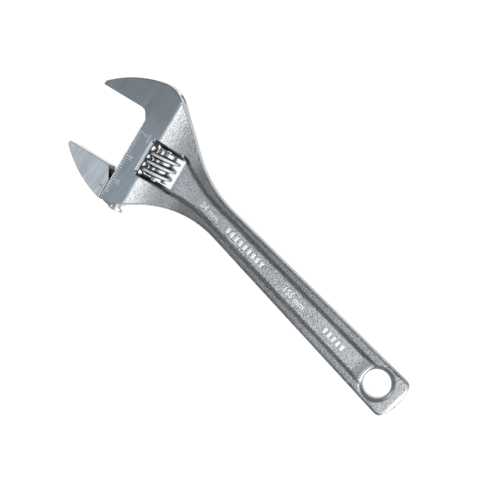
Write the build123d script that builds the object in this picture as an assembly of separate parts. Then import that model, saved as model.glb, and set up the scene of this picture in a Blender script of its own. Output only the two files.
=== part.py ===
from build123d import *
import math
import os

# Adjustable wrench, 6 inch wide-opening pattern. Driving dimensions in millimetres and degrees.
# Row frame: origin at the middle of the hanging hole, +X along the handle to the head, +Y to the side
# where the movable jaw sits, +Z out of the upper face. The jaws stand at JAW_ANGLE to the handle.
# Jaw frame: +x out to the jaw tips, +y the way the movable jaw opens, origin on the ruler edge at scale 0.
JAW_ANGLE = 14.5
SCALE_ZERO = (124.74, -2.18)
JAW_OPENING = 24.0

# Thicknesses, each as a half, because both faces of the wrench are alike.
HEAD_HALF = 5.0
RIM_HALF = 3.25
PANEL_HALF = 2.0
JAW_HALF = 4.8
FORGING_DRAFT = 5.0
TAIL_EDGE_ROUND = 2.2
TAIL_SLOPE_X = -4.5
TAIL_SLOPE_ROUND = 25.0
TAIL_END_HALF = 2.35

# Handle outline: half width at the hole and how much it narrows per millimetre of length.
HANDLE_HALF = 8.13
HANDLE_TAPER = 0.0245
TAIL_X = -11.2
TAIL_CORNER_X = -8.9
TAIL_ROUND = 2.4

# Hanging hole and its funnel.
HOLE_RADIUS = 5.1
HOLE_WALL_HALF = 2.0
FUNNEL_RADIUS = 6.35

# Recessed panel in both faces of the handle.
PANEL_START_X = 5.5
PANEL_START_HALF = 3.4
PANEL_FLARE_X = 91.0
PANEL_FLARE_HALF = 2.35
PANEL_WALL_ANGLE = 42.0
PANEL_RAMP_END_X = 9.5
PANEL_RAMP_HALF = 2.7

# Head: ground band, with the forged slope behind it down to the handle rim.
BAND_BACK = -8.6
SLOPE_END = -19.0
FACE_LEVEL = -7.78
THROAT_TOP = -4.7

# Worm, its thread and its pocket.
WORM_AXIS = -13.1
THREAD_LEAD = 3.2
CREST_RADIUS = 5.9
ROOT_RADIUS = 3.8
CREST_WIDTH = 0.9
FLANK_ANGLE = 18.0
CREST_TOP = 10.8
WORM_LOW = 1.75
WORM_HIGH = 12.45
THREAD_LOW = 3.1
POCKET_LOW = 1.45
POCKET_HIGH = 12.8
POCKET_BACK = -20.6
POCKET_FRONT = -7.4
POCKET_DRAFT = 17.0
POCKET_CHAMFER = 1.0

# Pin that the worm turns on, and the spring in the worm's counterbore.
PIN_RADIUS = 1.5
PIN_HEAD_RADIUS = 2.2
PIN_HEAD_LOW = 19.6
PIN_HEAD_LENGTH = 1.6
PIN_END = -5.0
PIN_CLEARANCE = 0.06
SPRING_BORE_RADIUS = 2.8
SPRING_BORE_DEPTH = 3.0
SPRING_RADIUS = 2.2
SPRING_WIRE = 0.5
SPRING_TURNS = 3

# Jaw rail with rack teeth, and the bore and slot it runs in.
RAIL_AXIS = -6.0
RAIL_RADIUS = 2.9
RAIL_LOW = 1.5
RAIL_HIGH = 29.9
RAIL_CHAMFER = 0.8
RAIL_CLEARANCE = 0.08
WEB_HALF = 1.6
SLOT_CLEARANCE = 0.1
SLOT_LOW = -7.0
WEB_LOW = 17.2
WEB_FRONT = 2.2
MESH_CLEARANCE = 0.15
JAW_GAP = 0.15
BLADE_CORNER = 28.72

JAW_FRAME = Location((SCALE_ZERO[0], SCALE_ZERO[1], 0), (0, 0, JAW_ANGLE))
FAR = 60.0


def jaw_point(x, y):
    """Row-frame X, Y of a point given in the jaw frame."""
    turn = math.radians(JAW_ANGLE)
    row_x = SCALE_ZERO[0] + x * math.cos(turn) - y * math.sin(turn)
    row_y = SCALE_ZERO[1] + x * math.sin(turn) + y * math.cos(turn)
    return (row_x, row_y)


def rounded_outline(corners):
    """Face whose straight sides meet at corners (x, y, radius), each rounded by a tangent arc."""
    rounds = []
    for index, (x, y, radius) in enumerate(corners):
        here = Vector(x, y)
        back = (Vector(*corners[index - 1][:2]) - here).normalized()
        ahead = (Vector(*corners[(index + 1) % len(corners)][:2]) - here).normalized()
        half_turn = math.radians(back.get_angle(ahead)) / 2
        reach = radius / math.tan(half_turn)
        depth = radius / math.sin(half_turn) - radius
        middle = here + (back + ahead).normalized() * depth
        rounds.append((here + back * reach, middle, here + ahead * reach))
    edges = []
    for index, (start, middle, end) in enumerate(rounds):
        if corners[index][2] > 0:
            edges.append(ThreePointArc(start, middle, end))
        edges.append(Line(end, rounds[(index + 1) % len(rounds)][0]))
    return make_face(edges)


def cylinder_along_y(x, low, high, radius):
    """Solid cylinder of the jaw frame, parallel to its y axis at height 0."""
    plane = Plane((x, low, 0), x_dir=(1, 0, 0), z_dir=(0, 1, 0))
    return extrude(plane * Circle(radius), high - low)


def cone_along_y(x, low, low_radius, high, high_radius):
    """Solid cone of the jaw frame, parallel to its y axis at height 0."""
    length = high - low
    cone = Cone(low_radius, high_radius, length)
    return Pos(x, low + length / 2, 0) * Rot(-90, 0, 0) * cone


def both_faces(shape):
    """The shape and its mirror image in the mid-plane of the wrench."""
    return shape + mirror(shape, Plane.XY)


def handle_half_width(x):
    return HANDLE_HALF - HANDLE_TAPER * x


def forging_outline():
    """Outline on the parting plane, filled across the jaw opening, which is cut later."""
    tail_half = handle_half_width(TAIL_CORNER_X)
    lower_flare = (91.9, -5.88, 46.0)
    upper_flare = (94.5, 5.81, 38.0)
    head_corners = [
        (-4.87, -20.85, 10.6),
        (11.27, -17.71, 38.0),
        (20.3, -9.35, 0.8),
        (20.3, -5.0, 0.0),
        (6.0, -3.0, 0.0),
        (4.0, 29.7, 0.0),
        (-5.64, 28.2, 6.0),
    ]
    corners = [
        (TAIL_CORNER_X, tail_half, TAIL_ROUND),
        (TAIL_X, 0.0, 12.0),
        (TAIL_CORNER_X, -tail_half, TAIL_ROUND),
        lower_flare,
    ]
    corners += [(*jaw_point(x, y), radius) for x, y, radius in head_corners]
    corners.append(upper_flare)
    return rounded_outline(corners)


def thickness_profile():
    """Block as thick as the ground band at the head and as the rim along the handle."""
    rise = HEAD_HALF - RIM_HALF
    run = BAND_BACK - SLOPE_END
    radius = (run**2 + rise**2) / (2 * rise)
    half_angle = math.asin(run / radius) / 2
    middle = (
        SLOPE_END + radius * math.sin(half_angle),
        RIM_HALF + radius * (1 - math.cos(half_angle)),
    )
    handle_far = -160.0
    edges = [
        Line((handle_far, 0), (FAR, 0)),
        Line((FAR, 0), (FAR, HEAD_HALF)),
        Line((FAR, HEAD_HALF), (BAND_BACK, HEAD_HALF)),
        ThreePointArc((BAND_BACK, HEAD_HALF), middle, (SLOPE_END, RIM_HALF)),
        Line((SLOPE_END, RIM_HALF), (handle_far, RIM_HALF)),
        Line((handle_far, RIM_HALF), (handle_far, 0)),
    ]
    side = Plane((0, 0, 0), x_dir=(1, 0, 0), z_dir=(0, -1, 0))
    return extrude(side * make_face(edges), FAR, both=True)


def tail_profile():
    """Block that slopes and rounds the upper edge of the handle's end."""
    end_x = TAIL_X + 0.6
    corners = [
        (end_x, -1.0, 0.0),
        (FAR * 3, -1.0, 0.0),
        (FAR * 3, HEAD_HALF + 1.0, 0.0),
        (TAIL_X + FAR, RIM_HALF + HEAD_HALF, 0.0),
        (TAIL_X + FAR / 2, RIM_HALF, 0.0),
        (TAIL_SLOPE_X, RIM_HALF, TAIL_SLOPE_ROUND),
        (end_x, TAIL_END_HALF, TAIL_EDGE_ROUND),
    ]
    side = Plane((0, 0, 0), x_dir=(1, 0, 0), z_dir=(0, -1, 0))
    return extrude(side * rounded_outline(corners), FAR, both=True)


def forging():
    """Handle and head with drafted sides, before anything is machined."""
    blank = extrude(forging_outline(), HEAD_HALF + 0.5, taper=FORGING_DRAFT)
    upper = blank & (JAW_FRAME * thickness_profile())
    return both_faces(upper & tail_profile())


def jaw_opening():
    """Space between the jaws: ruler edge, throat and fixed jaw face. Jaw frame."""
    throat_depth = 1.7
    corners = [
        (0.0, FAR, 0.0),
        (0.0, THROAT_TOP, 0.5),
        (throat_depth, FACE_LEVEL + 0.45, 0.8),
        (throat_depth + 1.6, FACE_LEVEL, 0.8),
        (FAR, FACE_LEVEL, 0.0),
        (FAR, FAR, 0.0),
    ]
    return extrude(rounded_outline(corners), FAR, both=True)


def pocket():
    """Through pocket for the worm, with drafted ends and a chamfer at the band. Jaw frame."""
    spread = math.tan(math.radians(POCKET_DRAFT)) * FAR / 4
    end_view = Plane((POCKET_BACK, 0, 0), x_dir=(0, 1, 0), z_dir=(1, 0, 0))
    upper_half = Polyline(
        (POCKET_LOW, 0),
        (POCKET_HIGH, 0),
        (POCKET_HIGH + spread, FAR / 4),
        (POCKET_LOW - spread, FAR / 4),
        close=True,
    )
    opening = extrude(end_view * make_face(upper_half), POCKET_FRONT - POCKET_BACK)
    side_view = Plane((0, 0, 0), x_dir=(1, 0, 0), z_dir=(0, -1, 0))
    bevel = Polyline(
        (POCKET_FRONT - 0.01, HEAD_HALF - POCKET_CHAMFER),
        (POCKET_FRONT + POCKET_CHAMFER, HEAD_HALF),
        (POCKET_FRONT + POCKET_CHAMFER, HEAD_HALF + 1.0),
        (POCKET_FRONT - 0.01, HEAD_HALF + 1.0),
        close=True,
    )
    widest = math.tan(math.radians(POCKET_DRAFT)) * HEAD_HALF
    bevel_length = POCKET_HIGH - POCKET_LOW + 2 * widest - 2 * POCKET_CHAMFER
    bevel_block = extrude(side_view * make_face(bevel), bevel_length / 2, both=True)
    middle = (POCKET_LOW + POCKET_HIGH) / 2
    return both_faces(opening + Pos(0, middle, 0) * bevel_block)


def handle_panel():
    """Recess of one face of the handle: flat floor, sloped walls, open to the worm pocket."""
    rise = math.tan(math.radians(POCKET_DRAFT)) * PANEL_HALF
    inside = 1.0
    upper_end = jaw_point(POCKET_BACK + inside, POCKET_HIGH + rise)
    lower_end = jaw_point(POCKET_BACK + inside, POCKET_LOW - rise)
    flare_round = 45.0
    corners = [
        (PANEL_START_X, PANEL_START_HALF, 0.0),
        (PANEL_START_X, -PANEL_START_HALF, 0.0),
        (PANEL_FLARE_X, -PANEL_FLARE_HALF, flare_round),
        (*lower_end, 0.0),
        (*upper_end, 0.0),
        (PANEL_FLARE_X, PANEL_FLARE_HALF, flare_round),
    ]
    floor = Pos(0, 0, PANEL_HALF) * rounded_outline(corners)
    recess = extrude(floor, HEAD_HALF - PANEL_HALF, taper=-PANEL_WALL_ANGLE)
    ramp = Polyline(
        (PANEL_START_X - 5.0, PANEL_HALF - 1.0),
        (PANEL_RAMP_END_X, PANEL_HALF),
        (PANEL_START_X - 5.0, PANEL_RAMP_HALF + 1.0),
        close=True,
    )
    side = Plane((0, 0, 0), x_dir=(1, 0, 0), z_dir=(0, -1, 0))
    return recess - extrude(side * make_face(ramp), FAR, both=True)


def hang_hole():
    """Through hole with a funnel at each face."""
    depth = RIM_HALF - HOLE_WALL_HALF
    slope = (FUNNEL_RADIUS - HOLE_RADIUS) / depth
    height = depth + 1.0
    funnel = Cone(HOLE_RADIUS, HOLE_RADIUS + slope * height, height)
    upper = Pos(0, 0, HOLE_WALL_HALF + height / 2) * funnel
    return Cylinder(HOLE_RADIUS, FAR) + both_faces(upper)


def rail_bore():
    """Through bore for the rail and the slot that its web runs in. Jaw frame."""
    bore = cylinder_along_y(RAIL_AXIS, -FAR, FAR, RAIL_RADIUS + RAIL_CLEARANCE)
    slot_half = WEB_HALF + SLOT_CLEARANCE
    slot_front = WEB_FRONT + 0.3
    outline = Polyline(
        (RAIL_AXIS, SLOT_LOW),
        (slot_front, SLOT_LOW),
        (slot_front, FAR),
        (RAIL_AXIS, FAR),
        close=True,
    )
    return bore + extrude(make_face(outline), slot_half, both=True)


def pin_hole():
    """Hole for the worm's pin, with a counterbore for its head. Jaw frame."""
    shank = cylinder_along_y(WORM_AXIS, PIN_END - 0.3, FAR, PIN_RADIUS + PIN_CLEARANCE)
    seat = cylinder_along_y(WORM_AXIS, PIN_HEAD_LOW - 0.05, FAR, PIN_HEAD_RADIUS + PIN_CLEARANCE)
    return shank + seat


def wrench_body():
    """The forging with the jaw opening, pocket, panels, holes and guides cut into it."""
    body = forging()
    body -= both_faces(handle_panel())
    body -= hang_hole()
    for cutter in (jaw_opening(), pocket(), rail_bore(), pin_hole()):
        body -= JAW_FRAME * cutter
    return body


def rack_groove(level):
    """Cutter for one rack groove, slanted to the thread, at the given place along the rail."""
    tip = RAIL_AXIS - RAIL_RADIUS - 0.5
    root = WORM_AXIS + CREST_RADIUS + MESH_CLEARANCE
    flank = math.tan(math.radians(FLANK_ANGLE))
    crest_half = CREST_WIDTH / 2 + MESH_CLEARANCE
    mouth_half = crest_half + flank * (root - tip)
    section = Polyline(
        (root, -crest_half),
        (root, crest_half),
        (tip, mouth_half),
        (tip, -mouth_half),
        close=True,
    )
    pitch_radius = (CREST_RADIUS + ROOT_RADIUS) / 2
    lead_angle = math.degrees(math.atan(THREAD_LEAD / (2 * math.pi * pitch_radius)))
    groove = extrude(make_face(section), RAIL_RADIUS + 1.0, both=True)
    return Pos(0, level, 0) * Rot(lead_angle, 0, 0) * groove


def rail():
    """Round rail with its end chamfer and rack. Jaw frame."""
    full_low = RAIL_LOW + RAIL_CHAMFER
    shape = cylinder_along_y(RAIL_AXIS, full_low, RAIL_HIGH, RAIL_RADIUS)
    shape += cone_along_y(
        RAIL_AXIS, RAIL_LOW, RAIL_RADIUS - RAIL_CHAMFER, full_low, RAIL_RADIUS
    )
    first_groove = CREST_TOP + THREAD_LEAD / 4
    steps = range(-2, 8)
    for step in steps:
        shape -= rack_groove(first_groove + step * THREAD_LEAD)
    return shape


def jaw_blade():
    """Full-thickness part of the movable jaw. Jaw frame."""
    face = FACE_LEVEL + JAW_OPENING
    corners = [
        (JAW_GAP, BLADE_CORNER, 0.0),
        (JAW_GAP, face + 5.1, 0.0),
        (3.1, face, 1.0),
        (20.35, face, 0.5),
        (20.35, face + 1.25, 0.35),
        (11.42, 26.0, 42.0),
    ]
    return extrude(rounded_outline(corners), JAW_HALF, both=True)


def jaw_web():
    """Flat web between the blade and the rail, flush with the rail's outer end. Jaw frame."""
    section = Polyline(
        (WEB_FRONT, WEB_LOW),
        (WEB_FRONT, 26.0),
        (JAW_GAP, BLADE_CORNER),
        (RAIL_AXIS, RAIL_HIGH),
        (RAIL_AXIS, WEB_LOW),
        close=True,
    )
    return extrude(make_face(section), WEB_HALF, both=True)


def movable_jaw():
    """Jaw, web and rail in one piece."""
    return JAW_FRAME * (jaw_blade() + jaw_web() + rail())


def worm_thread():
    """Right-hand helical ridge, longer than the worm at both ends. Jaw frame."""
    buried = ROOT_RADIUS - 0.6
    flank = math.tan(math.radians(FLANK_ANGLE))
    crest_half = CREST_WIDTH / 2
    base_half = crest_half + flank * (CREST_RADIUS - buried)
    turns = 5
    start = CREST_TOP - 3.75 * THREAD_LEAD
    helix = Helix(THREAD_LEAD, turns * THREAD_LEAD, CREST_RADIUS)
    section_plane = Plane((0, 0, 0), x_dir=(1, 0, 0), z_dir=(0, -1, 0))
    section = Polyline(
        (buried, -base_half),
        (CREST_RADIUS, -crest_half),
        (CREST_RADIUS, crest_half),
        (buried, base_half),
        close=True,
    )
    ridge = sweep(section_plane * make_face(section), path=helix, is_frenet=True)
    return Pos(WORM_AXIS, start, 0) * Rot(-90, 0, 0) * ridge


def adjusting_worm():
    """Thumb worm: core, thread, plain collar, bore and spring counterbore."""
    core = cylinder_along_y(WORM_AXIS, WORM_LOW, WORM_HIGH, ROOT_RADIUS)
    limits = cylinder_along_y(WORM_AXIS, THREAD_LOW, WORM_HIGH, CREST_RADIUS + 1.0)
    worm = core + (worm_thread() & limits)
    worm -= cylinder_along_y(WORM_AXIS, WORM_LOW - 1, WORM_HIGH + 1, PIN_RADIUS + PIN_CLEARANCE)
    counterbore_low = WORM_HIGH - SPRING_BORE_DEPTH
    worm -= cylinder_along_y(WORM_AXIS, counterbore_low, WORM_HIGH + 1, SPRING_BORE_RADIUS)
    return JAW_FRAME * worm


def worm_pin():
    """Plain pin with a slotted head."""
    pin = cylinder_along_y(WORM_AXIS, PIN_END, PIN_HEAD_LOW + 0.1, PIN_RADIUS)
    head_high = PIN_HEAD_LOW + PIN_HEAD_LENGTH
    pin += cylinder_along_y(WORM_AXIS, PIN_HEAD_LOW, head_high, PIN_HEAD_RADIUS)
    slot_width = 0.7
    slot_depth = 0.7
    slot = Box(2 * PIN_HEAD_RADIUS + 1, 2 * slot_depth, slot_width)
    return JAW_FRAME * (pin - Pos(WORM_AXIS, head_high, 0) * slot)


def worm_spring():
    """Coil spring between the counterbore's floor and the pocket's end."""
    low = WORM_HIGH - SPRING_BORE_DEPTH + SPRING_WIRE / 2 + 0.05
    high = POCKET_HIGH - SPRING_WIRE / 2 - 0.05
    pitch = (high - low) / SPRING_TURNS
    helix = Helix(pitch, high - low, SPRING_RADIUS)
    section_plane = Plane(helix @ 0, z_dir=helix % 0)
    coil = sweep(section_plane * Circle(SPRING_WIRE / 2), path=helix, is_frenet=True)
    return JAW_FRAME * (Pos(WORM_AXIS, low, 0) * Rot(-90, 0, 0) * coil)


PARTS = {
    "wrench_body": wrench_body,
    "movable_jaw": movable_jaw,
    "adjusting_worm": adjusting_worm,
    "worm_pin": worm_pin,
    "worm_spring": worm_spring,
}


if __name__ == "__main__":
    os.makedirs("parts", exist_ok=True)
    for name, make in PARTS.items():
        export_step(make(), f"parts/{name}.step")
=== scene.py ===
"""Looks of the adjustable wrench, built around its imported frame.

Meshes are made in millimetres in the row frame and turned into metres when they become pieces.
"""

import math

import bmesh
import bpy
import numpy as np
from mathutils import Matrix, Vector, noise


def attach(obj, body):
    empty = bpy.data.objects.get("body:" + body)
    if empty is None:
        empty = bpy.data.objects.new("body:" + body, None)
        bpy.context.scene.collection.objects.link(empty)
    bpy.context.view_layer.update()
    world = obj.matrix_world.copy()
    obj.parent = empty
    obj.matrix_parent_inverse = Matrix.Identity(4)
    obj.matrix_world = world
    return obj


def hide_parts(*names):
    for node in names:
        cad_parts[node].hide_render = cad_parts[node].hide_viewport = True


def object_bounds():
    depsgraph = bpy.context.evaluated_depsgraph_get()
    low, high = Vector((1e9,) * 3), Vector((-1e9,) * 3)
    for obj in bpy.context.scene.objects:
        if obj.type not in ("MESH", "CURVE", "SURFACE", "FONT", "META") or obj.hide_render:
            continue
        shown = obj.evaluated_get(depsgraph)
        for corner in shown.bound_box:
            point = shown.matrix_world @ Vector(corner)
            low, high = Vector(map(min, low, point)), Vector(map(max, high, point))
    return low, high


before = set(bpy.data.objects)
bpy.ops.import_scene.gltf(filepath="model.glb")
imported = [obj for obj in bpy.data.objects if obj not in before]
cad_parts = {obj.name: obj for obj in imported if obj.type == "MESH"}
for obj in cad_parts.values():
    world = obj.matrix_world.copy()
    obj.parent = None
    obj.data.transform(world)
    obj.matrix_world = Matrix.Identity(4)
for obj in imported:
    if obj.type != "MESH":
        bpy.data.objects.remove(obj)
cad_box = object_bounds()
MM = 0.001

# Jaw frame: +x out to the jaw tips, +y the way the movable jaw opens, origin at the scale's 0
# on the edge that carries the ticks.
JAW_ANGLE = math.radians(14.5)
SCALE_ZERO = (124.74, -2.18)
FROM_ZERO = (-SCALE_ZERO[0], -SCALE_ZERO[1], 0)
TO_JAW = Matrix.Rotation(-JAW_ANGLE, 4, "Z") @ Matrix.Translation(FROM_ZERO)
TO_ROW = TO_JAW.inverted()

# Half thicknesses of the head, of the recessed panels, of the movable jaw and of its web.
HEAD_HALF = 5.0
PANEL_HALF = 2.0
JAW_HALF = 4.8
WEB_HALF = 1.6

# Forging, in the row frame: half width of the handle at the hole and how fast it narrows from
# there, and the outer radius of the hole's countersink.
HANDLE_HALF = 8.13
HANDLE_TAPER = 0.0245
FUNNEL_RADIUS = 6.35

# Forging, in the jaw frame: back edge of the ground band, the worm's pocket, and the part of the
# pocket's head-side wall that ends in a ridge.
BAND_BACK = -8.6
POCKET_LOW, POCKET_HIGH = 1.45, 12.8
POCKET_BACK, POCKET_FRONT = -20.6, -7.4
RIDGE_BACK, RIDGE_FRONT = -19.0, -9.0

# Worm, in the jaw frame: its axis runs along y at WORM_AXIS, and at angle 0 the middle of a crest
# is at CREST_TOP.
WORM_AXIS = -13.1
WORM_LOW, WORM_HIGH = 1.75, 12.45
CREST_RADIUS = 5.9
ROOT_RADIUS = 3.8
THREAD_LEAD = 3.2
THREAD_LOW = 3.1
CREST_TOP = 10.8
CREST_WIDTH = 0.9
FLANK_ANGLE = math.radians(18.0)
KNURLS = 84
STEPS_PER_KNURL = 5
PIN_BORE_RADIUS = 1.56
SPRING_BORE_RADIUS = 2.8
SPRING_BORE_DEPTH = 3.0

# Height of the faint marks that turning leaves.
MARK_RELIEF = 0.006

# Grid steps of the even meshes.
BODY_VOXEL = 0.24
JAW_VOXEL = 0.15


# ---------------------------------------------------------------- mesh helpers


def add_piece(name, mesh, body, material):
    """Turns a mesh from millimetres into metres and puts it on a CAD body."""
    mesh.transform(Matrix.Scale(MM, 4))
    mesh.materials.append(material)
    piece = bpy.data.objects.new(name, mesh)
    bpy.context.scene.collection.objects.link(piece)
    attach(piece, body)
    return piece


def evaluated(data, name, prepare):
    """Mesh of an object made of data, after prepare() has changed or modified the object."""
    holder = bpy.data.objects.new(name, data)
    bpy.context.scene.collection.objects.link(holder)
    prepare(holder)
    graph = bpy.context.evaluated_depsgraph_get()
    mesh = bpy.data.meshes.new_from_object(holder.evaluated_get(graph))
    mesh.name = name
    bpy.data.objects.remove(holder)
    return mesh


def welded(mesh, distance):
    """Joins points that lie together and turns the faces outward."""
    shape = bmesh.new()
    shape.from_mesh(mesh)
    bmesh.ops.remove_doubles(shape, verts=shape.verts, dist=distance)
    bmesh.ops.recalc_face_normals(shape, faces=shape.faces)
    shape.to_mesh(mesh)
    shape.free()
    return mesh


def remeshed(node, name, voxel):
    """Even closed mesh of a CAD node, on a grid that is square to the jaws and their edges."""
    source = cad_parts[node].data.copy()
    source.materials.clear()
    source.transform(TO_JAW @ Matrix.Scale(1 / MM, 4))
    weld_distance = 0.001
    welded(source, weld_distance)

    def remesh(holder):
        change = holder.modifiers.new("remesh", "REMESH")
        change.mode = "VOXEL"
        change.voxel_size = voxel
        change.adaptivity = 0

    mesh = evaluated(source, name, remesh)
    mesh.transform(TO_ROW)
    return mesh


def points_of(mesh):
    flat = np.empty(len(mesh.vertices) * 3, np.float32)
    mesh.vertices.foreach_get("co", flat)
    return flat.reshape(-1, 3).astype(float)


def set_points(mesh, points):
    mesh.vertices.foreach_set("co", points.astype(np.float32).ravel())
    mesh.update()


def normals_of(mesh):
    flat = np.empty(len(mesh.vertices) * 3, np.float32)
    mesh.vertex_normals.foreach_get("vector", flat)
    return flat.reshape(-1, 3).astype(float)


def edges_of(mesh):
    flat = np.empty(len(mesh.edges) * 2, np.int32)
    mesh.edges.foreach_get("vertices", flat)
    return flat.reshape(-1, 2)


def smooth_points(points, edges, share, rounds):
    """Moves each point towards the middle of its neighbours by its share, that many times."""
    count = len(points)
    ends = np.concatenate([edges[:, 0], edges[:, 1]])
    others = np.concatenate([edges[:, 1], edges[:, 0]])
    near = np.maximum(np.bincount(ends, minlength=count), 1)
    moved = points.copy()
    for _ in range(rounds):
        for axis in range(3):
            mean = np.bincount(ends, weights=moved[others, axis], minlength=count) / near
            moved[:, axis] += share * (mean - moved[:, axis])
    return moved


def jaw_coordinates(points):
    """The points' x and y in the jaw frame."""
    turn = np.array(TO_JAW)
    flat = points[:, :2] @ turn[:2, :2].T + turn[:2, 3]
    return flat[:, 0], flat[:, 1]


def ramp(values, low, high):
    """Smooth step from 0 at low to 1 at high."""
    share = np.clip((values - low) / (high - low), 0, 1)
    return share * share * (3 - 2 * share)


def noise_at(points, size):
    """Smooth noise with lumps of about that size, for each point."""
    return np.array([noise.noise(Vector(point)) for point in points / size])


def joined(name, placed):
    """New mesh that holds each mesh of the pairs, moved by the placement that it comes with."""
    shape = bmesh.new()
    for mesh, placement in placed:
        moved = mesh.copy()
        moved.transform(placement)
        shape.from_mesh(moved)
        bpy.data.meshes.remove(moved)
    result = bpy.data.meshes.new(name)
    shape.to_mesh(result)
    shape.free()
    return result


def plate(outline, low, high, bevel=0.0):
    """Thin plate of an outline of x, y points between two heights, with its upper edge bevelled."""
    shape = bmesh.new()
    face = shape.faces.new([shape.verts.new((x, y, low)) for x, y in outline])
    risen = bmesh.ops.extrude_face_region(shape, geom=[face])["geom"]
    corners = [item for item in risen if isinstance(item, bmesh.types.BMVert)]
    bmesh.ops.translate(shape, verts=corners, vec=(0, 0, high - low))
    if bevel:
        top = high - 1e-6
        rim = [edge for edge in shape.edges if all(end.co.z > top for end in edge.verts)]
        bmesh.ops.bevel(shape, geom=rim, offset=bevel, segments=1, affect="EDGES")
    bmesh.ops.recalc_face_normals(shape, faces=shape.faces)
    mesh = bpy.data.meshes.new("plate")
    shape.to_mesh(mesh)
    shape.free()
    return mesh


def rectangle(along_x, along_y):
    """Outline of a rectangle centred on the origin."""
    x, y = along_x / 2, along_y / 2
    return [(-x, -y), (x, -y), (x, y), (-x, y)]


def lettering(words, height, thickness, weight=0.0, bevel=0.0):
    """Plain raised characters on height 0, as tall as said and centred on the origin."""
    corner_angle = 1.0
    weld_distance = 1e-5
    text = bpy.data.curves.new("lettering", "FONT")
    text.body = words
    text.align_x = "CENTER"
    text.resolution_u = 3
    text.extrude = 0.1
    text.offset = weight
    mesh = welded(evaluated(text, "lettering", lambda holder: None), weld_distance)
    points = points_of(mesh)
    low, high = points.min(0), points.max(0)
    size = height / (high[1] - low[1])
    points -= (low + high) / 2
    points[:, :2] *= size
    points[:, 2] = np.where(points[:, 2] > 0, thickness, 0.0)
    set_points(mesh, points)
    if bevel:
        shape = bmesh.new()
        shape.from_mesh(mesh)
        corners = [edge for edge in shape.edges if edge.calc_face_angle(0) > corner_angle]
        rim = [edge for edge in corners if all(end.co.z > thickness / 2 for end in edge.verts)]
        bmesh.ops.bevel(
            shape, geom=rim, offset=bevel, segments=1, affect="EDGES", clamp_overlap=True
        )
        shape.to_mesh(mesh)
        shape.free()
    return mesh


# ---------------------------------------------------------------- wrench body


def pocket_distance(x, y):
    """How far a point of the jaw frame lies outside the worm pocket's outline."""
    beyond_x = np.maximum(POCKET_BACK - x, x - POCKET_FRONT)
    beyond_y = np.maximum(POCKET_LOW - y, y - POCKET_HIGH)
    outside = np.hypot(np.maximum(beyond_x, 0), np.maximum(beyond_y, 0))
    return outside + np.minimum(np.maximum(beyond_x, beyond_y), 0)


def forged_share(points):
    """1 on the forged skin and 0 on the ground band, in the pocket and on the hole's wall.

    The pocket's cut mouth reaches further out on the head's face than on the panel's floor.
    """
    x, y = jaw_coordinates(points)
    behind_band = 1 - ramp(x, BAND_BACK - 0.5, BAND_BACK - 0.1)
    at_floor = 1 - ramp(np.abs(points[:, 2]), PANEL_HALF + 0.1, PANEL_HALF + 0.6)
    machined_edge = 1.7 - 1.4 * at_floor
    off_pocket = ramp(pocket_distance(x, y), machined_edge - 0.3, machined_edge + 0.3)
    from_hole = np.hypot(points[:, 0], points[:, 1])
    off_hole = ramp(from_hole, FUNNEL_RADIUS - 0.1, FUNNEL_RADIUS + 0.4)
    return behind_band * off_pocket * off_hole


def handle_edge_share(points):
    """1 along the outer edges of the handle, 0 on its panels and on the head."""
    reach = 1.9
    neck_x, head_x = 80.0, 100.0
    half = HANDLE_HALF - HANDLE_TAPER * points[:, 0]
    inset = half - np.abs(points[:, 1])
    along_edge = 1 - ramp(inset, reach * 0.7, reach)
    return along_edge * (1 - ramp(points[:, 0], neck_x, head_x))


def pocket_ridge(points):
    """Moves the ridge of the pocket's head-side wall close to the worm's end."""
    reach = 0.2
    x, y = jaw_coordinates(points)
    on_wall = ramp(y, -0.2, 0.9) * (1 - ramp(y, 1.6, 2.0))
    in_web = 1 - ramp(np.abs(points[:, 2]), 1.0, 3.5)
    beside_rail = ramp(x, RIDGE_BACK - 1, RIDGE_BACK)
    beside_rail *= 1 - ramp(x, RIDGE_FRONT - 0.4, RIDGE_FRONT - 0.1)
    jaw_y = np.array(TO_ROW)[:2, 1]
    points[:, :2] += reach * (on_wall * in_web * beside_rail)[:, None] * jaw_y
    return points


def make_body(material):
    """The forging: crisp machined band and pocket, soft forged edges and a pebbled skin."""
    pebble_size = 0.6
    lump_size = pebble_size * 3.5
    pebble_height = 0.022
    mesh = remeshed("wrench_body", "wrench_forging", BODY_VOXEL)
    points, edges = points_of(mesh), edges_of(mesh)

    # Cut edges are broken, forged ones are softer, and the handle's outer ones are well rounded.
    forged = forged_share(points)
    points = smooth_points(points, edges, 0.3 + 0.6 * forged, 3)
    points = smooth_points(points, edges, 0.9 * forged, 3)
    points = pocket_ridge(points)
    outer = forged * handle_edge_share(points)
    points = smooth_points(points, edges, 0.9 * outer, 16)
    set_points(mesh, points)

    lumps = noise_at(points, pebble_size) + 0.6 * noise_at(points, lump_size)
    points += normals_of(mesh) * (pebble_height * forged * (lumps - 0.3))[:, None]
    points[:, 2] = np.clip(points[:, 2], -HEAD_HALF, HEAD_HALF)
    set_points(mesh, points)
    skin = mesh.attributes.new("forged", "FLOAT", "POINT")
    skin.data.foreach_set("value", forged.astype(np.float32))
    mesh.shade_smooth()
    piece = add_piece("wrench_forging", mesh, "body", material)
    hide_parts("wrench_body")


# ---------------------------------------------------------------- marks


def tick_length(level):
    """Ticks are longest at the tens and shortest between the fives."""
    if level % 10 == 0:
        return 2.1
    return 1.8 if level % 5 == 0 else 1.45


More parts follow.
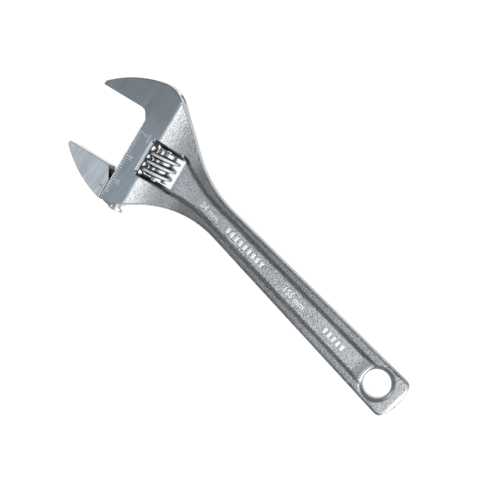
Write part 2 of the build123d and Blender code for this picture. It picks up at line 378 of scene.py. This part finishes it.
def make_scale(material):
    """Opening scale on the band: a tick at each millimetre up to 25, and its figures."""
    last = 25
    tick_width = 0.26
    edge_gap = 0.12
    sunk, proud = 0.03, 0.015
    base, top = HEAD_HALF - sunk, HEAD_HALF + proud
    placed = []
    for level in range(last + 1):
        length = tick_length(level)
        tick = plate(rectangle(length, tick_width), base, top)
        placed.append((tick, Matrix.Translation((-edge_gap - length / 2, level, 0))))
    reading = Matrix.Rotation(math.radians(-90), 4, "Z")
    figure_height, unit_height = 1.4, 0.95
    figures = (
        ("0", figure_height, -3.2, 0.4),
        ("10", figure_height, -2.9, 10.2),
        ("20", figure_height, -3.0, 20.2),
        ("mm", unit_height, -5.0, 0.9),
    )
    for words, height, x, level in figures:
        figure = lettering(words, height, sunk + proud)
        placed.append((figure, Matrix.Translation((x, level, base)) @ reading))
    mesh = joined("opening_scale", placed)
    mesh.transform(TO_ROW)
    add_piece("opening_scale", mesh, "body", material)


def make_size_marks(material):
    """Raised generic size marks on the upper panel: capacity, length and two rows of plain bars."""
    rise, sunk = 0.22, 0.05
    height = 2.3
    bar_width, pitch = 1.05, 2.15
    middle_y = 0.1
    base = PANEL_HALF - sunk
    turned = Matrix.Rotation(math.pi, 4, "Z")
    placed = []
    for words, x in (("24 mm", 85.6), ("155 mm", 42.0)):
        letters = lettering(words, height, rise + sunk, weight=0.025, bevel=0.09)
        placed.append((letters, Matrix.Translation((x, middle_y, base)) @ turned))
    for middle_x, count in ((67.5, 9), (21.8, 5)):
        for step in range(count):
            mark = plate(rectangle(bar_width, height), 0.0, rise + sunk, bevel=0.1)
            x = middle_x + (step - (count - 1) / 2) * pitch
            placed.append((mark, Matrix.Translation((x, middle_y, base))))
    mesh = joined("size_marks", placed)
    add_piece("size_marks", mesh, "body", material)


def make_index_mark(material):
    """Small dark triangle on the jaw that points at the scale."""
    x, level = 1.75, 24.15
    reach = 0.75
    sunk, proud = 0.03, 0.012
    outline = [(-reach, 0.0), (reach * 0.7, -reach * 0.8), (reach * 0.7, reach * 0.8)]
    mark = plate(outline, JAW_HALF - sunk, JAW_HALF + proud)
    mesh = joined("index_mark", [(mark, TO_ROW @ Matrix.Translation((x, level, 0)))])
    add_piece("index_mark", mesh, "jaw", material)


# ---------------------------------------------------------------- jaw and worm


def make_jaw(material):
    """Movable jaw with its web, rail and rack, all edges slightly broken."""
    mesh = remeshed("movable_jaw", "jaw_and_rail", JAW_VOXEL)
    points = smooth_points(points_of(mesh), edges_of(mesh), 0.4, 4)
    points[:, 2] = np.clip(points[:, 2], -JAW_HALF, JAW_HALF)
    set_points(mesh, points)
    mesh.shade_smooth()
    piece = add_piece("jaw_and_rail", mesh, "jaw", material)
    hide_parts("movable_jaw")


def thread_share(phase):
    """Share of the full thread depth at a distance along the axis from the crest's middle."""
    flank = math.tan(FLANK_ANGLE) * (CREST_RADIUS - ROOT_RADIUS)
    share = 1 - np.clip((np.abs(phase) - CREST_WIDTH / 2) / flank, 0, 1)
    rounded = share * share * (3 - 2 * share)
    return 0.3 * rounded + 0.7 * share


def worm_radius(angle, level):
    """Radius of the worm's outer surface: core, thread, crest rounding and knurl."""
    knurl_depth = 0.07
    crest_round = 0.08
    end_break = 0.12
    phase = (level - CREST_TOP - THREAD_LEAD * angle / (2 * math.pi)) / THREAD_LEAD
    phase = (phase - np.round(phase)) * THREAD_LEAD
    share = thread_share(phase)
    share = share * ramp(level, THREAD_LOW - 0.05, THREAD_LOW + 0.15)
    share = share * (1 - ramp(level, WORM_HIGH - 0.2, WORM_HIGH - 0.02))
    on_crest = ramp(share, 0.8, 0.98)
    notch = 0.5 + 0.5 * np.cos(angle * KNURLS)
    radius = ROOT_RADIUS + (CREST_RADIUS - ROOT_RADIUS) * share
    radius -= on_crest * knurl_depth * notch
    radius -= on_crest * crest_round * (phase / (CREST_WIDTH / 2)) ** 2
    radius -= end_break * (1 - ramp(level, WORM_LOW, WORM_LOW + end_break)) * (1 - share)
    return radius


def make_worm(material):
    """Thumb worm: turned thread, straight knurl across its crests, bored for pin and spring."""
    steps_round = KNURLS * STEPS_PER_KNURL
    step_along = 0.06
    steps_along = round((WORM_HIGH - WORM_LOW) / step_along)
    sharp_angle = math.radians(50)
    turns = np.linspace(0, 2 * math.pi, steps_round, endpoint=False)
    levels = np.linspace(WORM_LOW, WORM_HIGH, steps_along + 1)
    shape = bmesh.new()

    def ring(radii, level):
        spots = zip(WORM_AXIS + radii * np.sin(turns), radii * np.cos(turns))
        return [shape.verts.new(TO_ROW @ Vector((x, level, z))) for x, z in spots]

    rings = [ring(worm_radius(turns, level), level) for level in levels]
    counterbore = WORM_HIGH - SPRING_BORE_DEPTH
    bores = (
        (SPRING_BORE_RADIUS, WORM_HIGH),
        (SPRING_BORE_RADIUS, counterbore),
        (PIN_BORE_RADIUS, counterbore),
        (PIN_BORE_RADIUS, WORM_LOW),
    )
    rings += [ring(radius * np.ones(steps_round), level) for radius, level in bores]
    for low, high in zip(rings, rings[1:] + rings[:1]):
        for index in range(steps_round):
            after = (index + 1) % steps_round
            shape.faces.new((low[index], low[after], high[after], high[index]))
    bmesh.ops.recalc_face_normals(shape, faces=shape.faces)
    mesh = bpy.data.meshes.new("thumb_worm")
    shape.to_mesh(mesh)
    shape.free()
    mesh.shade_smooth()
    mesh.set_sharp_from_angle(angle=sharp_angle)
    piece = add_piece("thumb_worm", mesh, "worm", material)
    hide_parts("adjusting_worm")


# ---------------------------------------------------------------- materials


class Nodes:
    """Short ways to add and join the nodes of one material.

    Its coordinates are in millimetres: place in the row frame, and jaw in the jaw frame.
    """

    def __init__(self, name):
        self.material = bpy.data.materials.new(name)
        self.material.use_nodes = True
        self.tree = self.material.node_tree
        self.tree.nodes.clear()
        output = self.add("ShaderNodeOutputMaterial")
        self.shader = self.add("ShaderNodeBsdfPrincipled")
        self.link(self.shader.outputs[0], output.inputs[0])
        place = self.add("ShaderNodeTexCoord").outputs["Object"]
        self.place = self.mapping(place, scale=(1 / MM,) * 3)
        self.jaw = self.mapping(self.mapping(self.place, shift=FROM_ZERO), turn=-JAW_ANGLE)

    def add(self, kind, **values):
        node = self.tree.nodes.new(kind)
        for key, value in values.items():
            setattr(node, key, value)
        return node

    def link(self, source, target):
        self.tree.links.new(source, target)

    def give(self, target, value):
        """Joins a socket to a value, or sets a constant on it."""
        if isinstance(value, bpy.types.NodeSocket):
            self.link(value, target)
        else:
            target.default_value = value

    def mapping(self, vector, scale=(1, 1, 1), shift=(0, 0, 0), turn=0.0):
        node = self.add("ShaderNodeMapping")
        node.inputs["Location"].default_value = shift
        node.inputs["Rotation"].default_value = (0, 0, turn)
        node.inputs["Scale"].default_value = scale
        self.link(vector, node.inputs["Vector"])
        return node.outputs[0]

    def attribute(self, name):
        return self.add("ShaderNodeAttribute", attribute_name=name).outputs["Fac"]

    def parts(self, vector):
        node = self.add("ShaderNodeSeparateXYZ")
        self.link(vector, node.inputs[0])
        return node.outputs

    def math(self, kind, *values):
        node = self.add("ShaderNodeMath", operation=kind)
        for socket, value in zip(node.inputs, values):
            self.give(socket, value)
        return node.outputs[0]

    def product(self, first, *others):
        for other in others:
            first = self.math("MULTIPLY", first, other)
        return first

    def noise(self, vector, scale, detail=2.0, roughness=0.5):
        node = self.add("ShaderNodeTexNoise")
        self.link(vector, node.inputs["Vector"])
        node.inputs["Scale"].default_value = scale
        node.inputs["Detail"].default_value = detail
        node.inputs["Roughness"].default_value = roughness
        return node.outputs["Fac"]

    def between(self, value, low, high, to_low=0.0, to_high=1.0):
        """Smooth step from to_low at low to to_high at high."""
        node = self.add("ShaderNodeMapRange", interpolation_type="SMOOTHSTEP")
        self.give(node.inputs["Value"], value)
        node.inputs["From Min"].default_value = low
        node.inputs["From Max"].default_value = high
        node.inputs["To Min"].default_value = to_low
        node.inputs["To Max"].default_value = to_high
        return node.outputs[0]

    def spread(self, noise, to_low=0.0, to_high=1.0):
        """Takes the range that a noise mostly keeps to from to_low to to_high."""
        return self.between(noise, 0.3, 0.7, to_low, to_high)

    def mix(self, share, first, second):
        """Colour between two."""
        node = self.add("ShaderNodeMix", data_type="RGBA")
        self.give(node.inputs[0], share)
        self.give(node.inputs[6], first)
        self.give(node.inputs[7], second)
        return node.outputs[2]

    def blend(self, share, first, second):
        """Number between two."""
        node = self.add("ShaderNodeMix", data_type="FLOAT")
        self.give(node.inputs[0], share)
        self.give(node.inputs[2], first)
        self.give(node.inputs[3], second)
        return node.outputs[0]

    def bump(self, height):
        """Normals of a relief given in millimetres."""
        node = self.add("ShaderNodeBump")
        node.inputs["Strength"].default_value = 1.0
        node.inputs["Distance"].default_value = MM
        self.link(height, node.inputs["Height"])
        return node.outputs[0]

    def surface(self, colour, roughness, relief, metallic=1.0):
        """The finished material. Its relief is in millimetres."""
        self.give(self.shader.inputs["Metallic"], metallic)
        self.give(self.shader.inputs["Base Color"], colour)
        self.give(self.shader.inputs["Roughness"], roughness)
        self.link(self.bump(relief), self.shader.inputs["Normal"])
        return self.material


def grey(level, tint=0.0):
    """A grey that is bluer as the tint grows."""
    return (level * (1 - tint), level, level * (1 + tint), 1)


def grinding(nodes, fine, coarse):
    """Grinding lines, a little off the jaw's travel, as a value about 0.5."""
    turned = nodes.mapping(nodes.jaw, turn=math.radians(8))
    lines = nodes.mapping(turned, scale=(1, 0.035, 1))
    narrow = nodes.noise(lines, fine, 2.0, 0.6)
    wide = nodes.noise(lines, coarse, 1.0)
    return nodes.math("ADD", nodes.product(narrow, 0.6), nodes.product(wide, 0.4))


def rim_tone_and_painted_light(nodes, along, x, cloud):
    """Forged rims, with painted light: a painted highlight at the tail's end, painted shade darkest
    at mid-handle, and painted highlights paler towards the head.
    """
    inside_tail_end = nodes.between(along, -9.9, -8.2)
    past_tail = nodes.between(along, -6.0, -4.0)
    painted_shade_mid_handle = nodes.between(along, 25.0, 70.0)
    painted_light_past_neck = nodes.between(x, -29.0, -21.0)
    painted_light_in_head = nodes.between(x, -15.5, -12.5)
    # Painted light: the tail's end is painted bright as a painted highlight, mid-handle is painted
    # darker as painted shade, and the neck and head are painted paler as painted highlights. The
    # cloud between bare and worn is random tone.
    tail = nodes.mix(inside_tail_end, grey(0.66, 0.01), grey(0.30, 0.03))
    bare = nodes.mix(painted_shade_mid_handle, grey(0.31, 0.03), grey(0.22, 0.02))
    worn = nodes.mix(painted_shade_mid_handle, grey(0.35, 0.04), grey(0.26, 0.03))
    rim = nodes.mix(past_tail, tail, nodes.mix(cloud, bare, worn))
    rim = nodes.mix(painted_light_past_neck, rim, grey(0.50, 0.03))
    return nodes.mix(painted_light_in_head, rim, grey(0.57, 0.03))


def floor_shade(nodes, along, cloud):
    """Floors of the recessed panels: even round the hole and cloudy beyond it."""
    past_hole = nodes.between(along, 14.0, 30.0)
    cloudy = nodes.mix(cloud, grey(0.495, 0.055), grey(0.565, 0.06))
    return nodes.mix(past_hole, grey(0.505, 0.04), cloudy)


def cut_colour_with_painted_shade(nodes, x, level):
    """Machined steel, plain, with painted shade that darkens the inside of the worm's pocket and
    its mouth.
    """
    limits = (
        (x, POCKET_BACK - 3.0, POCKET_BACK - 2.0),
        (x, POCKET_FRONT + 2.2, POCKET_FRONT + 1.9),
        (level, POCKET_LOW - 2.2, POCKET_LOW - 1.9),
        (level, POCKET_HIGH + 2.2, POCKET_HIGH + 1.9),
    )
    painted_shade_in_pocket = nodes.product(*(nodes.between(*limit) for limit in limits))
    # Painted shade: the pocket and its mouth are painted dark.
    return nodes.mix(painted_shade_in_pocket, grey(0.52, 0.06), grey(0.18, 0.05))


def band_lines_and_painted_light(nodes, lines, level):
    """Ground band: grinding lines, with painted light that makes it paler and bluer on the movable
    jaw's side.
    """
    stripes = nodes.between(lines, 0.35, 0.65)
    fixed_side = nodes.mix(stripes, grey(0.33, 0.10), grey(0.41, 0.11))
    movable_side = nodes.mix(stripes, grey(0.40, 0.13), grey(0.50, 0.13))
    # Painted light: the band is painted paler towards the movable jaw's side.
    painted_light_towards_movable = nodes.between(level, -11.0, 4.0)
    return nodes.mix(painted_light_towards_movable, fixed_side, movable_side)


def forged_chrome():
    """Chrome over a pebbled forging, with the ground band and machined pocket bare of pebbles."""
    nodes = Nodes("forged_chrome")
    pebble_relief, line_relief = 0.17, 0.01
    along, _, height = nodes.parts(nodes.place)[:3]
    height = nodes.math("ABSOLUTE", height)
    x, level = nodes.parts(nodes.jaw)[:2]
    forged = nodes.attribute("forged")
    on_band = nodes.between(height, HEAD_HALF - 0.08, HEAD_HALF - 0.03)
    grain = nodes.noise(nodes.place, 2.1, 3.0, 0.6)
    cloud = nodes.spread(nodes.noise(nodes.place, 0.12, 2.0))
    lines = grinding(nodes, 7.0, 1.6)

    low = nodes.between(height, PANEL_HALF + 0.85, PANEL_HALF + 1.2, 1.0, 0.0)
    inside_rims = nodes.product(low, nodes.between(along, 0.0, 4.0))
    rim, floor = rim_tone_and_painted_light(nodes, along, x, cloud), floor_shade(nodes, along, cloud)
    # Painted shade: the low pits of the pebbled grain are painted darker.
    off_painted_pit_shade = nodes.between(grain, 0.36, 0.58, 0.4, 1.0)
    skin = nodes.mix(off_painted_pit_shade, grey(0.14, 0.03), nodes.mix(inside_rims, rim, floor))
    bare = nodes.mix(forged, cut_colour_with_painted_shade(nodes, x, level), skin)
    colour = nodes.mix(on_band, bare, band_lines_and_painted_light(nodes, lines, level))

    off_band_rough = nodes.blend(forged, 0.3, nodes.spread(grain, 0.28, 0.42))
    roughness = nodes.blend(on_band, off_band_rough, nodes.spread(lines, 0.30, 0.40))
    pebbles = nodes.product(grain, forged, pebble_relief)
    scratches = nodes.product(lines, line_relief)
    return nodes.surface(colour, roughness, nodes.blend(on_band, pebbles, scratches))


def ground_jaw():
    """Chrome over coarse grinding lines, with painted shade on the broken edges and the web,
    plainer sides, and a rail painted darker towards the blade.
    """
    nodes = Nodes("ground_jaw_steel")
    line_relief = 0.05
    x, level, height = nodes.parts(nodes.jaw)[:3]
    height = nodes.math("ABSOLUTE", height)
    lines = grinding(nodes, 5.0, 1.3)

    face = nodes.between(height, JAW_HALF - 0.03, JAW_HALF - 0.01)
    not_face = nodes.math("SUBTRACT", 1.0, face)
    # Painted shade: a thin band of the sides just under the face's broken edge is painted dark.
    painted_dark_edge = nodes.between(height, JAW_HALF - 0.28, JAW_HALF - 0.16)
    side = nodes.mix(painted_dark_edge, grey(0.74, 0.02), grey(0.14, 0.03))
    ground = nodes.mix(nodes.between(lines, 0.36, 0.62), grey(0.56, 0.10), grey(0.77, 0.09))
    blade = nodes.mix(face, side, ground)

    # Painted shade: the inner corner under the blade and both sides of the web are painted dark and
    # dull.
    under_blade = nodes.between(level, 21.4, 21.8, 1.0, 0.0)
    behind_corner = nodes.between(x, 3.0, 3.3, 1.0, 0.0)
    corner = nodes.product(under_blade, behind_corner, not_face)
    outside_web = nodes.between(height, WEB_HALF + 0.05, WEB_HALF + 0.15, 1.0, 0.0)
    at_web = nodes.between(height, WEB_HALF - 0.2, WEB_HALF - 0.1)
    behind_blade = nodes.between(x, 2.3, 2.6, 1.0, 0.0)
    web = nodes.product(outside_web, at_web, behind_blade)
    past_rail = nodes.between(x, -2.9, -2.6)
    painted_web_shade = nodes.product(nodes.math("MAXIMUM", corner, web), past_rail)
    blade = nodes.mix(painted_web_shade, blade, grey(0.10, 0.02))

    # Painted light: the rail is painted lighter further into the head and darker towards the blade.
    painted_dark_rail_end = nodes.between(level, 18.0, 24.0)
    rail = nodes.mix(painted_dark_rail_end, grey(0.56, 0.03), grey(0.42, 0.03))
    colour = nodes.mix(past_rail, rail, blade)
    roughness = nodes.spread(lines, 0.32, 0.48)
    return nodes.surface(colour, roughness, nodes.product(lines, face, line_relief))


def turning_marks(nodes):
    """Faint marks left around a turned piece, as a value about 0.5."""
    return nodes.noise(nodes.mapping(nodes.jaw, scale=(0.3, 6.0, 0.3)), 1.5, 2.0)


def turned_metal(name, level, rough):
    """Turned and polished metal with faint marks around it."""
    nodes = Nodes(name)
    marks = turning_marks(nodes)
    colour = nodes.mix(nodes.spread(marks), grey(level * 0.9, 0.01), grey(level, 0.02))
    roughness = nodes.spread(marks, rough * 0.8, rough * 1.3)
    return nodes.surface(colour, roughness, nodes.product(marks, MARK_RELIEF))


def worm_metal():
    """Polished roots and flanks painted dark as painted shade, with a satin knurl on the crests."""
    nodes = Nodes("polished_worm")
    x, _, height = nodes.parts(nodes.jaw)[:3]
    across = nodes.math("SUBTRACT", x, WORM_AXIS)
    squares = nodes.math("ADD", nodes.product(across, across), nodes.product(height, height))
    radius = nodes.math("SQRT", squares)
    crest = nodes.between(radius, CREST_RADIUS - 0.5, CREST_RADIUS - 0.25)
    flank = nodes.between(radius, ROOT_RADIUS + 0.1, ROOT_RADIUS + 0.8)
    marks = turning_marks(nodes)
    root = nodes.mix(nodes.spread(marks), grey(0.28, 0.01), grey(0.34, 0.02))
    # Painted shade: the thread's flanks are painted dark.
    core = nodes.mix(flank, root, grey(0.10, 0.02))
    colour = nodes.mix(crest, core, grey(0.47, 0.03))
    roughness = nodes.blend(crest, nodes.spread(marks, 0.26, 0.34), 0.42)
    metallic = nodes.between(crest, 0.0, 1.0, 1.0, 0.5)
    return nodes.surface(colour, roughness, nodes.product(marks, MARK_RELIEF), metallic)


def mark_metal(name, level, rough):
    """Frosted or darkened mark with a fine grain."""
    nodes = Nodes(name)
    grain_relief = 0.02
    grain = nodes.noise(nodes.place, 4.0, 2.0)
    colour = nodes.mix(nodes.spread(grain), grey(level * 0.88, 0.02), grey(level, 0.02))
    roughness = nodes.spread(grain, rough * 0.85, rough * 1.1)
    return nodes.surface(colour, roughness, nodes.product(grain, grain_relief))


# ---------------------------------------------------------------- studio


def make_floor():
    """Plain pale floor that the wrench lies on. It glows a little, so that it stays even."""
    half_side = 3.0
    shape = bmesh.new()
    bmesh.ops.create_grid(shape, x_segments=8, y_segments=8, size=half_side)
    mesh = bpy.data.meshes.new("studio_floor")
    shape.to_mesh(mesh)
    shape.free()
    floor = bpy.data.objects.new("studio_floor", mesh)
    floor.location.z = cad_box[0].z
    bpy.context.scene.collection.objects.link(floor)
    material = bpy.data.materials.new("studio_floor")
    material.use_nodes = True
    shader = material.node_tree.nodes["Principled BSDF"]
    shader.inputs["Base Color"].default_value = (0.12, 0.12, 0.12, 1)
    shader.inputs["Emission Color"].default_value = (1, 1, 1, 1)
    shader.inputs["Emission Strength"].default_value = 0.93
    shader.inputs["Roughness"].default_value = 0.9
    shader.inputs["Specular IOR Level"].default_value = 0.1
    mesh.materials.append(material)


def soft_box(name, direction, distance, size, radiance, mirrored=True):
    """Area light that stands off the middle of the wrench in a direction, and is aimed at it.

    Its distance and its width and height are in metres, and the wrench shows a reflection of it
    only if it is mirrored.
    """
    light = bpy.data.lights.new(name, "AREA")
    light.shape = "RECTANGLE"
    light.size, light.size_y = size
    light.energy = radiance * math.pi * size[0] * size[1]
    lamp = bpy.data.objects.new(name, light)
    bpy.context.scene.collection.objects.link(lamp)
    middle = (cad_box[0] + cad_box[1]) / 2
    away = Vector(direction).normalized()
    lamp.location = middle + away * distance
    lamp.rotation_euler = away.to_track_quat("Z", "Y").to_euler()
    lamp.visible_glossy = mirrored
    lamp.visible_camera = False


def make_world():
    """Dim surroundings for reflections, and a pale backdrop where the view runs past the floor."""
    world = bpy.data.worlds.new("studio")
    bpy.context.scene.world = world
    world.use_nodes = True
    tree = world.node_tree
    dim = tree.nodes["Background"]
    dim.inputs["Color"].default_value = (0.93, 0.97, 1.0, 1)
    dim.inputs["Strength"].default_value = 0.22
    pale = tree.nodes.new("ShaderNodeBackground")
    pale.inputs["Color"].default_value = (1, 1, 1, 1)
    seen = tree.nodes.new("ShaderNodeLightPath").outputs["Is Camera Ray"]
    choice = tree.nodes.new("ShaderNodeMixShader")
    tree.links.new(seen, choice.inputs[0])
    tree.links.new(dim.outputs[0], choice.inputs[1])
    tree.links.new(pale.outputs[0], choice.inputs[2])
    tree.links.new(choice.outputs[0], tree.nodes["World Output"].inputs[0])


def make_camera():
    """Camera above the wrench, a little to its tail, with the head to the upper left."""
    target = Vector((65.673, -0.402, 0.0)) * MM
    back = Vector((-0.10988, -0.10813, 0.98805)).normalized()
    distance = 464.4 * MM
    up = Vector((0.7148, -0.6993, 0.0))
    up = (up - back * up.dot(back)).normalized()
    data = bpy.data.cameras.new("camera")
    data.sensor_width = 36.0
    data.lens = 92.74
    data.clip_start = 0.01
    camera = bpy.data.objects.new("camera", data)
    bpy.context.scene.collection.objects.link(camera)
    turn = Matrix((up.cross(back), up, back)).transposed().to_4x4()
    camera.matrix_world = Matrix.Translation(target + back * distance) @ turn
    bpy.context.scene.camera = camera


# ---------------------------------------------------------------- scene


make_body(forged_chrome())
make_scale(mark_metal("frosted_mark", level=0.92, rough=0.42))
make_size_marks(turned_metal("raised_chrome", level=0.95, rough=0.32))
make_jaw(ground_jaw())
make_index_mark(mark_metal("dark_mark", level=0.40, rough=0.42))
make_worm(worm_metal())
for node, metal, level in (("worm_pin", "pin_steel", 0.32), ("worm_spring", "spring_steel", 0.25)):
    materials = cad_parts[node].data.materials
    materials.clear()
    materials.append(turned_metal(metal, level, rough=0.3))

make_floor()
make_world()
soft_box("tail_box", (-0.766, -0.10, 0.643), distance=0.9, size=(0.95, 1.24), radiance=3.4)
soft_box("head_box", (0.80, 0.15, 0.58), distance=0.9, size=(0.35, 0.40), radiance=4.4)
soft_box("top_card", (-0.05, 0.20, 1.0), distance=1.2, size=(0.62, 0.62), radiance=0.9)
soft_box(
    "top_fill", (0.2, 0.3, 1.0), distance=1.4, size=(1.6, 1.6), radiance=1.6, mirrored=False
)
make_camera()
bpy.context.scene.view_settings.view_transform = "Standard"
